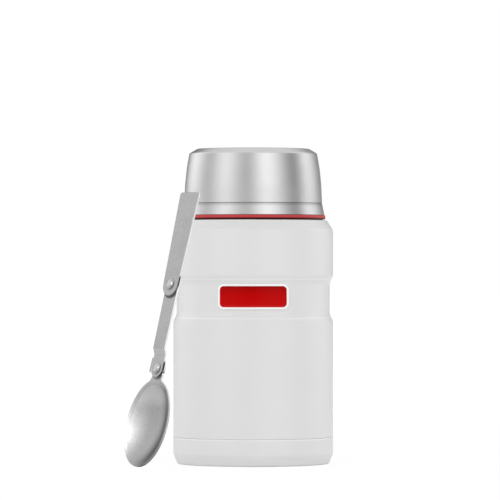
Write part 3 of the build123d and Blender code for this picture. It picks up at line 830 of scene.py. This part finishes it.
# %% Tumbled steel
def dark_end(tree, sides, distance, radius):
    """Masks of the side's painted highlight, which stops at the round end, and of the painted shade
    on the end itself.
    """
    near, far = (radius + fade for fade in END_FADE)
    painted_highlight = product(tree, sides.outputs["Bright"], span(tree, distance, near, far))
    either = add_node(tree, "ShaderNodeMath", operation="MAXIMUM")
    on_end = product(tree, sides.outputs["Bright"], span(tree, distance, far, near))
    join(tree, sides.outputs["Dark"], either.inputs[0])
    join(tree, on_end, either.inputs[1])
    return painted_highlight, either.outputs[0]


def tumbled_steel(name, piece, end=None, under=None, bowl=False):
    """Dulled steel. end is the rivet and radius of its own round end, under of the one on it."""
    material, tree, shader = new_finish(name)
    grain = use_group(tree, fine_grain, Scale=800.0, Roughness=0.4, Spread=0.08)
    rough = BOWL_ROUGH if bowl else PLATE_ROUGH
    touch = use_group(tree, handling, Scale=70.0, Roughness=rough, Amount=0.1)
    sides = use_group(tree, plate_sides)
    reach = use_group(tree, from_rivets)
    bump = add_bump(tree, grain.outputs["Height"], shader, GRAIN_DEPTH)
    colour = ramp(tree, grain.outputs["Height"], STEEL_GREYS)
    colour = shaded(tree, colour, sides.outputs["Highlighted_bend"], *PAINTED_LIGHT_GREYS["bend"])
    # Painted shade in a ring round each rivet.
    for label in ("Upper", "Lower"):
        rivet_shade_ring = span(tree, reach.outputs[label], RIVET_SHADE, RIVET_HEAD)
        colour = shaded(tree, colour, rivet_shade_ring, *PAINTED_LIGHT_GREYS["round a rivet"])
    # Painted shadow in a crescent under the round end of the plate above.
    if under:
        rivet, radius = under
        shade = span(tree, reach.outputs[rivet], radius + CRESCENT, radius + CRESCENT_CORE)
        colour = shaded(tree, colour, shade, *PAINTED_LIGHT_GREYS["under an end"])
    painted_highlight, dark = sides.outputs["Bright"], sides.outputs["Dark"]
    if end:
        rivet, radius = end
        painted_highlight, dark = dark_end(tree, sides, reach.outputs[rivet], radius)
    # Painted highlight on the sides, then painted shade on the low sides and the round end.
    colour = shaded(tree, colour, painted_highlight, SIDE_HIGHLIGHT_GREY)
    colour = shaded(tree, colour, dark, *PAINTED_LIGHT_GREYS["low side of the bowl" if bowl else "low side"])
    if bowl:
        shader.inputs["Specular Tint"].default_value = (EDGE_TINT, EDGE_TINT, EDGE_TINT, 1)
        hollow = use_group(tree, in_bowl)
        # Painted shade on the bowl's right, painted highlights on its left brim and its edge.
        for label in ("Right", "Left", "Edge"):
            grey, amount = PAINTED_LIGHT_GREYS[label.lower() + " of the bowl"]
            colour = shaded(tree, colour, hollow.outputs[label], grey, amount)
        join(tree, hollow.outputs["Normal"], bump.inputs["Normal"])
    keep_metal = add_node(tree, "ShaderNodeMath", operation="SUBTRACT")
    keep_metal.inputs[0].default_value = 1.0
    join(tree, colour, shader.inputs["Base Color"])
    join(tree, painted_highlight, keep_metal.inputs[1])
    join(tree, keep_metal.outputs[0], shader.inputs["Metallic"])
    join(tree, touch.outputs["Roughness"], shader.inputs["Roughness"])
    dress(material, piece)
    print("dressed", piece)


# %% [markdown]
# From the top down, each plate's round end lies on the next plate.

# %% Three plates
handle_end, link_end = ("Upper", HANDLE_END), ("Lower", LINK_END)
tumbled_steel("tumbled_handle_steel", "spoon_handle", end=handle_end)
tumbled_steel("tumbled_link_steel", "spoon_link", end=link_end, under=handle_end)
tumbled_steel("tumbled_bowl_steel", "spoon_bowl", under=link_end, bowl=True)

# %% [markdown]
# ### Polished rivets
#
# A rivet's head is rubbed bright by handling, and its lower right side gets painted shade. That
# side is found by its direction again.

# %% Polished rivets
SHADE_TO_SIDE, SHADE_INWARDS = 0.9, 0.3
RIVET_GREYS = [(0.0, 0.52), (1.0, 0.46)]
RIVET_PAINTED_SHADE = (0.04, 0.9)

polished, tree, shader = new_finish("polished_rivet_steel", Metallic=1.0)
touch = use_group(tree, handling, Scale=300.0, Roughness=0.2, Amount=0.12)
place = add_node(tree, "ShaderNodeTexCoord")
away = (spoon_right - spoon_up).normalized() * SHADE_TO_SIDE - spoon_out * SHADE_INWARDS
shade = span(tree, facing(tree, place.outputs["Normal"], away.normalized()), -0.05, 0.65)
colour = ramp(tree, touch.outputs["Mask"], RIVET_GREYS)
# Painted shade on the head's lower right side.
join(tree, shaded(tree, colour, shade, *RIVET_PAINTED_SHADE), shader.inputs["Base Color"])
join(tree, touch.outputs["Roughness"], shader.inputs["Roughness"])
dress(polished, *RIVETS)
print("polished:", RIVETS)

# %% [markdown]
# ### Drawn linings
#
# The jar's lining and the bowl in the lid are the same steel as the lid, smoother, with the rings
# that the turning tool left.

# %% Drawn linings
LINER_GREYS = [(0.2, 0.60), (0.8, 0.70)]
RING_DEPTH = 0.02 * MM

liner_steel, tree, shader = new_finish(
    "drawn_liner_steel", Metallic=1.0, Anisotropic=0.4, Anisotropic_Rotation=0.25
)
lines = use_group(tree, turned_lines, Density=1500.0, Roughness=0.26, Spread=0.1)
join(tree, ramp(tree, lines.outputs["Shade"], LINER_GREYS), shader.inputs["Base Color"])
join(tree, lines.outputs["Roughness"], shader.inputs["Roughness"])
add_bump(tree, lines.outputs["Height"], shader, RING_DEPTH, strength=0.3)
dress(liner_steel, "inner_vessel", "lid_liner", "vacuum_base")
print("dressed the linings in", liner_steel.name)

# %% [markdown]
# ### Red ring
#
# The ring is moulded in a coloured plastic. Its lower part lies deep in the gap over the shoulder,
# where hardly any light comes, so its red is painted darker downwards, as painted shade.

# %% Red ring
SHADED_RING_REDS = [
    (0.30, (0.045, 0.001, 0.001)),
    (0.40, (0.28, 0.018, 0.018)),
    (0.55, (0.50, 0.042, 0.044)),
    (1.00, (0.52, 0.050, 0.052)),
]
RING_PEBBLE = 0.03 * MM


def share_of_height(tree, name):
    """How far up a piece a point is, from 0 at its lower end to 1 at its upper end."""
    low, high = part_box(name)
    rise = add_node(tree, "ShaderNodeMapRange")
    rise.inputs["From Min"].default_value = low.z
    rise.inputs["From Max"].default_value = high.z
    join(tree, height_of(tree), rise.inputs["Value"])
    return rise.outputs["Result"]


red_ring, tree, shader = new_finish("red_ring_plastic", Specular_IOR_Level=0.3)
grain = use_group(tree, fine_grain, Scale=1200.0, Roughness=0.38, Spread=0.1)
# The reds get darker downwards as painted shade.
join(tree, ramp(tree, share_of_height(tree, "neck_ring"), SHADED_RING_REDS), shader.inputs["Base Color"])
join(tree, grain.outputs["Roughness"], shader.inputs["Roughness"])
add_bump(tree, grain.outputs["Height"], shader, RING_PEBBLE, strength=0.4)
dress(red_ring, "neck_ring")
print("red ring:", len(SHADED_RING_REDS), "reds")

# %% [markdown]
# ### Badge
#
# The badge is a white plate with a field of hard red enamel. The plate is painted like the body,
# but whiter and smoother.

# %% Badge's rim
RIM_WHITES = [(0.3, 0.97), (0.7, 1.0)]
BADGE_PEBBLE = 0.02 * MM

rim_white, tree, shader = new_finish("badge_rim_white", Specular_IOR_Level=0.5)
grain = use_group(tree, fine_grain, Scale=900.0, Roughness=0.3, Spread=0.08)
join(tree, ramp(tree, grain.outputs["Height"], RIM_WHITES), shader.inputs["Base Color"])
join(tree, grain.outputs["Roughness"], shader.inputs["Roughness"])
add_bump(tree, grain.outputs["Height"], shader, BADGE_PEBBLE, strength=0.3)
dress(rim_white, "badge_plate")
print("dressed the badge's rim in", rim_white.name)

# %% [markdown]
# The enamel has a thin clear skin and stands up in a slight dome. Its red is painted paler along
# its lower side, as a painted highlight, and deeper along its upper side, as painted shade.

# %% Badge's enamel
LIT_ENAMEL_REDS = [
    (0.00, (0.56, 0.020, 0.022)),
    (0.12, (0.52, 0.001, 0.002)),
    (0.50, (0.50, 0.0, 0.0)),
    (0.80, (0.42, 0.0, 0.0)),
    (1.00, (0.30, 0.0, 0.001)),
]
ENAMEL_ROUGH = [(0.3, 0.22), (0.7, 0.28)]

enamel, tree, shader = new_finish(
    "red_enamel", Specular_IOR_Level=0.04, Coat_Weight=0.04, Coat_Roughness=0.1
)
pool = add_node(tree, "ShaderNodeTexNoise", Scale=220.0, Detail=2.0)
join(tree, place_of(tree), pool.inputs["Vector"])
# Painted light: paler red below, deeper red above.
colour = ramp(tree, share_of_height(tree, "badge_inlay"), LIT_ENAMEL_REDS)
join(tree, colour, shader.inputs["Base Color"])
join(tree, ramp(tree, pool.outputs["Fac"], ENAMEL_ROUGH), shader.inputs["Roughness"])
dress(enamel, "badge_inlay")
print("enamel:", len(LIT_ENAMEL_REDS), "reds")

# %% [markdown]
# ### Inside pieces
#
# The stopper and the collar are moulded in a dark plastic, the cover in a lighter one. The seals
# are silicone, which is a little see-through and shows as a soft milky grey. All four materials
# are the same pebbled surface in different greys, so one function makes them.


# %% Moulded pieces
MOULDED_PEBBLE = 0.05 * MM


def moulded(name, dark, light, rough, *pieces):
    material, tree, shader = new_finish(name, Specular_IOR_Level=0.45)
    grain = use_group(tree, fine_grain, Scale=1000.0, Roughness=rough, Spread=0.12)
    colour = ramp(tree, grain.outputs["Height"], [(0.3, dark), (0.7, light)])
    join(tree, colour, shader.inputs["Base Color"])
    join(tree, grain.outputs["Roughness"], shader.inputs["Roughness"])
    add_bump(tree, grain.outputs["Height"], shader, MOULDED_PEBBLE, strength=0.5)
    dress(material, *pieces)
    print(name, "on", pieces)
    return material


dark_plastic = moulded("dark_moulded_plastic", 0.030, 0.036, 0.48, "stopper_body", "lid_collar")
moulded("grey_moulded_plastic", 0.085, 0.10, 0.5, "stopper_cover")
moulded("milky_silicone", 0.52, 0.56, 0.55, "stopper_seal", "lid_gasket")
moulded("closed_cell_foam", 0.75, 0.86, 0.85, "stopper_foam")

# %% [markdown]
# Two pieces are sealed up between the walls. The foil is wrapped by hand, and its creases make
# small flat facets, which a Voronoi pattern gives. The getter is a pill of pressed metal powder.

# %% Foil and getter
FOIL_GREYS, FOIL_ROUGH = [(0.0, 0.72), (0.8, 0.82)], [(0.0, 0.15), (0.8, 0.3)]
CREASE_DEPTH = 0.3 * MM
PILL_GREYS = [(0.3, 0.18), (0.7, 0.30)]
PILL_PEBBLE = 0.1 * MM

foil, tree, shader = new_finish("wrapped_foil", Metallic=1.0)
crumple = add_node(tree, "ShaderNodeTexVoronoi", Scale=120.0)
join(tree, place_of(tree), crumple.inputs["Vector"])
facets = crumple.outputs["Distance"]
join(tree, ramp(tree, facets, FOIL_GREYS), shader.inputs["Base Color"])
join(tree, ramp(tree, facets, FOIL_ROUGH), shader.inputs["Roughness"])
add_bump(tree, facets, shader, CREASE_DEPTH, strength=0.6)
dress(foil, "reflective_foil")

sinter, tree, shader = new_finish("sintered_getter", Metallic=0.8)
grain = use_group(tree, fine_grain, Scale=3500.0, Roughness=0.7, Spread=0.1)
join(tree, ramp(tree, grain.outputs["Height"], PILL_GREYS), shader.inputs["Base Color"])
join(tree, grain.outputs["Roughness"], shader.inputs["Roughness"])
add_bump(tree, grain.outputs["Height"], shader, PILL_PEBBLE, strength=0.8)
dress(sinter, "getter")
print("made", foil.name, "and", sinter.name)

# %% [markdown]
# ## Screw threads
#
# The stopper screws onto the neck and the lid onto the stopper. Each thread is two ridges that
# start opposite each other, and one whole turn lifts the piece by the lead. A ridge could be a
# curve with a bevel, but its section would lean. Here the section is drawn once and the Screw
# modifier carries it round and up. A ridge on the outside of a wall runs out in a ramp, cut by a
# slanting plane, so that the piece that screws onto it finds its way.

# %% Sizes of the threads
LEAD = 12 * MM
RIDGE_WIDTH, CREST_SHARE = 1.7 * MM, 0.45
RIDGE_ROOT = 0.15 * MM
STEP_ROUND = radians(3)
RUN_PAST = radians(12)
RAMP = radians(75)
THREAD_LOW = 149.7 * MM
HALF_PITCH_TURN = radians(-90)
CLOSE = 0.01 * MM
SMOOTH_BELOW = radians(35)
print("lead", LEAD / MM, "mm, ridge", RIDGE_WIDTH / MM, "mm wide")

# %% [markdown]
# The section is a plane stood on edge at the wall. Its outer edge is made shorter, for the slanting
# flanks, and its face is deleted, which leaves the loop of four edges that the ridge is swept from.


# %% Section of a ridge
def select_by(obj, test):
    """Selects the vertices whose place passes the test, in edit mode."""
    mesh = bmesh.from_edit_mesh(obj.data)
    mesh.select_mode = {"VERT"}
    for vertex in mesh.verts:
        vertex.select = test(vertex.co)
    mesh.select_flush_mode()
    bmesh.update_edit_mesh(obj.data)


def ridge_section(name, wall, crest):
    """The section of a ridge, an open loop of four edges, on the +X side."""
    root = wall - RIDGE_ROOT if crest > wall else wall + RIDGE_ROOT
    middle = ((root + crest) / 2, 0, THREAD_LOW)
    bpy.ops.object.select_all(action="DESELECT")
    bpy.ops.mesh.primitive_plane_add(size=1, location=middle, rotation=(pi / 2, 0, 0))
    ridge = bpy.context.object
    ridge.name = name
    ridge.scale = (abs(crest - root), RIDGE_WIDTH, 1)
    bpy.ops.object.transform_apply(location=True, rotation=True, scale=True)
    bpy.ops.object.mode_set(mode="EDIT")
    select_by(ridge, lambda place: abs(place.x - crest) < CLOSE)
    bpy.ops.transform.resize(value=(1, 1, CREST_SHARE), center_override=(crest, 0, THREAD_LOW))
    bpy.ops.mesh.select_all(action="SELECT")
    bpy.ops.mesh.delete(type="ONLY_FACE")
    bpy.ops.object.mode_set(mode="OBJECT")
    return ridge


print("a ridge's crest is", round(RIDGE_WIDTH * CREST_SHARE / MM, 2), "mm wide")

# %% [markdown]
# The Screw modifier sweeps that loop round Z and up. Its ends stay open, so they are filled, and
# the faces are turned to look out.


# %% Sweep
def carry_round(ridge, start, turn):
    """Carries the section round and up by the lead, and caps its ends."""
    screw = ridge.modifiers.new("screw", "SCREW")
    screw.angle = turn
    screw.screw_offset = LEAD * turn / tau
    screw.steps = screw.render_steps = round(turn / STEP_ROUND)
    bpy.ops.object.modifier_apply(modifier="screw")
    ridge.rotation_euler.z = start
    bpy.ops.object.transform_apply(rotation=True)
    bpy.ops.object.mode_set(mode="EDIT")
    bpy.ops.mesh.select_all(action="DESELECT")
    bpy.ops.mesh.select_non_manifold()
    bpy.ops.mesh.fill_holes(sides=4)
    bpy.ops.mesh.select_all(action="SELECT")
    bpy.ops.mesh.normals_make_consistent(inside=False)
    bpy.ops.object.mode_set(mode="OBJECT")


print("steps in a whole turn:", round(tau / STEP_ROUND))

# %% [markdown]
# Bisect cuts an end off along the slanting plane and closes the cut. The second start is a copy of
# the first, turned by half a turn about the jar's axis.


# %% Run-out and second start
def cut_ramp(ridge, wall, angle, way):
    """Cuts one end of an outside ridge down to the wall. way is 1 for its upper end, else -1."""
    radial = Vector((cos(angle), sin(angle), 0))
    along = Vector((-sin(angle), cos(angle), 0)) * way
    bpy.ops.object.mode_set(mode="EDIT")
    bpy.ops.mesh.select_all(action="SELECT")
    bpy.ops.mesh.bisect(
        plane_co=radial * (wall - 0.5 * RIDGE_ROOT),
        plane_no=radial * sin(RAMP) + along * cos(RAMP),
        use_fill=True,
        clear_outer=True,
    )
    bpy.ops.object.mode_set(mode="OBJECT")


def second_start(ridge):
    bpy.ops.object.mode_set(mode="EDIT")
    bpy.ops.mesh.select_all(action="SELECT")
    bpy.ops.mesh.duplicate()
    bpy.ops.transform.rotate(value=pi, orient_axis="Z", center_override=(0, 0, 0))
    bpy.ops.mesh.select_all(action="SELECT")
    bpy.ops.mesh.normals_make_consistent(inside=False)
    bpy.ops.object.mode_set(mode="OBJECT")


print("ramps slant by", round(90 - degrees(RAMP)), "degrees")

# %% [markdown]
# Four threads: one on the neck, one on each side of the stopper's skirt and one in the lid's
# collar. A thread inside a wall starts a quarter turn earlier than the one it runs on, which puts
# its ridges half way between the other's. Each rides on the body that carries it.


# %% Four threads
def thread(name, body, slot, finish, wall, crest, start, turn):
    ridge = ridge_section(name, wall * MM, crest * MM)
    carry_round(ridge, start, turn)
    if crest > wall:
        cut_ramp(ridge, wall * MM, start + RUN_PAST, -1)
        cut_ramp(ridge, wall * MM, start + turn - RUN_PAST, 1)
    second_start(ridge)
    bpy.ops.object.shade_smooth_by_angle(angle=SMOOTH_BELOW)
    ridge.data.materials.append(finish)
    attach(ridge, body)
    tallest = max(vertex.co.z for vertex in ridge.data.vertices)
    print(name, "faces:", len(ridge.data.polygons), "top:", round(tallest / MM, 1), "mm")


steel, plastic = ("satin_steel", liner_steel), ("dark_plastic", dark_plastic)
thread("neck_thread", "jar", *steel, 35.6, 36.35, 0, radians(250))
thread("skirt_inner_thread", "stopper", *plastic, 36.7, 36.05, HALF_PITCH_TURN, radians(240))
thread("skirt_outer_thread", "stopper", *plastic, 38.1, 38.65, 0, radians(300))
thread("collar_thread", "lid", *plastic, 38.9, 38.35, HALF_PITCH_TURN, radians(290))
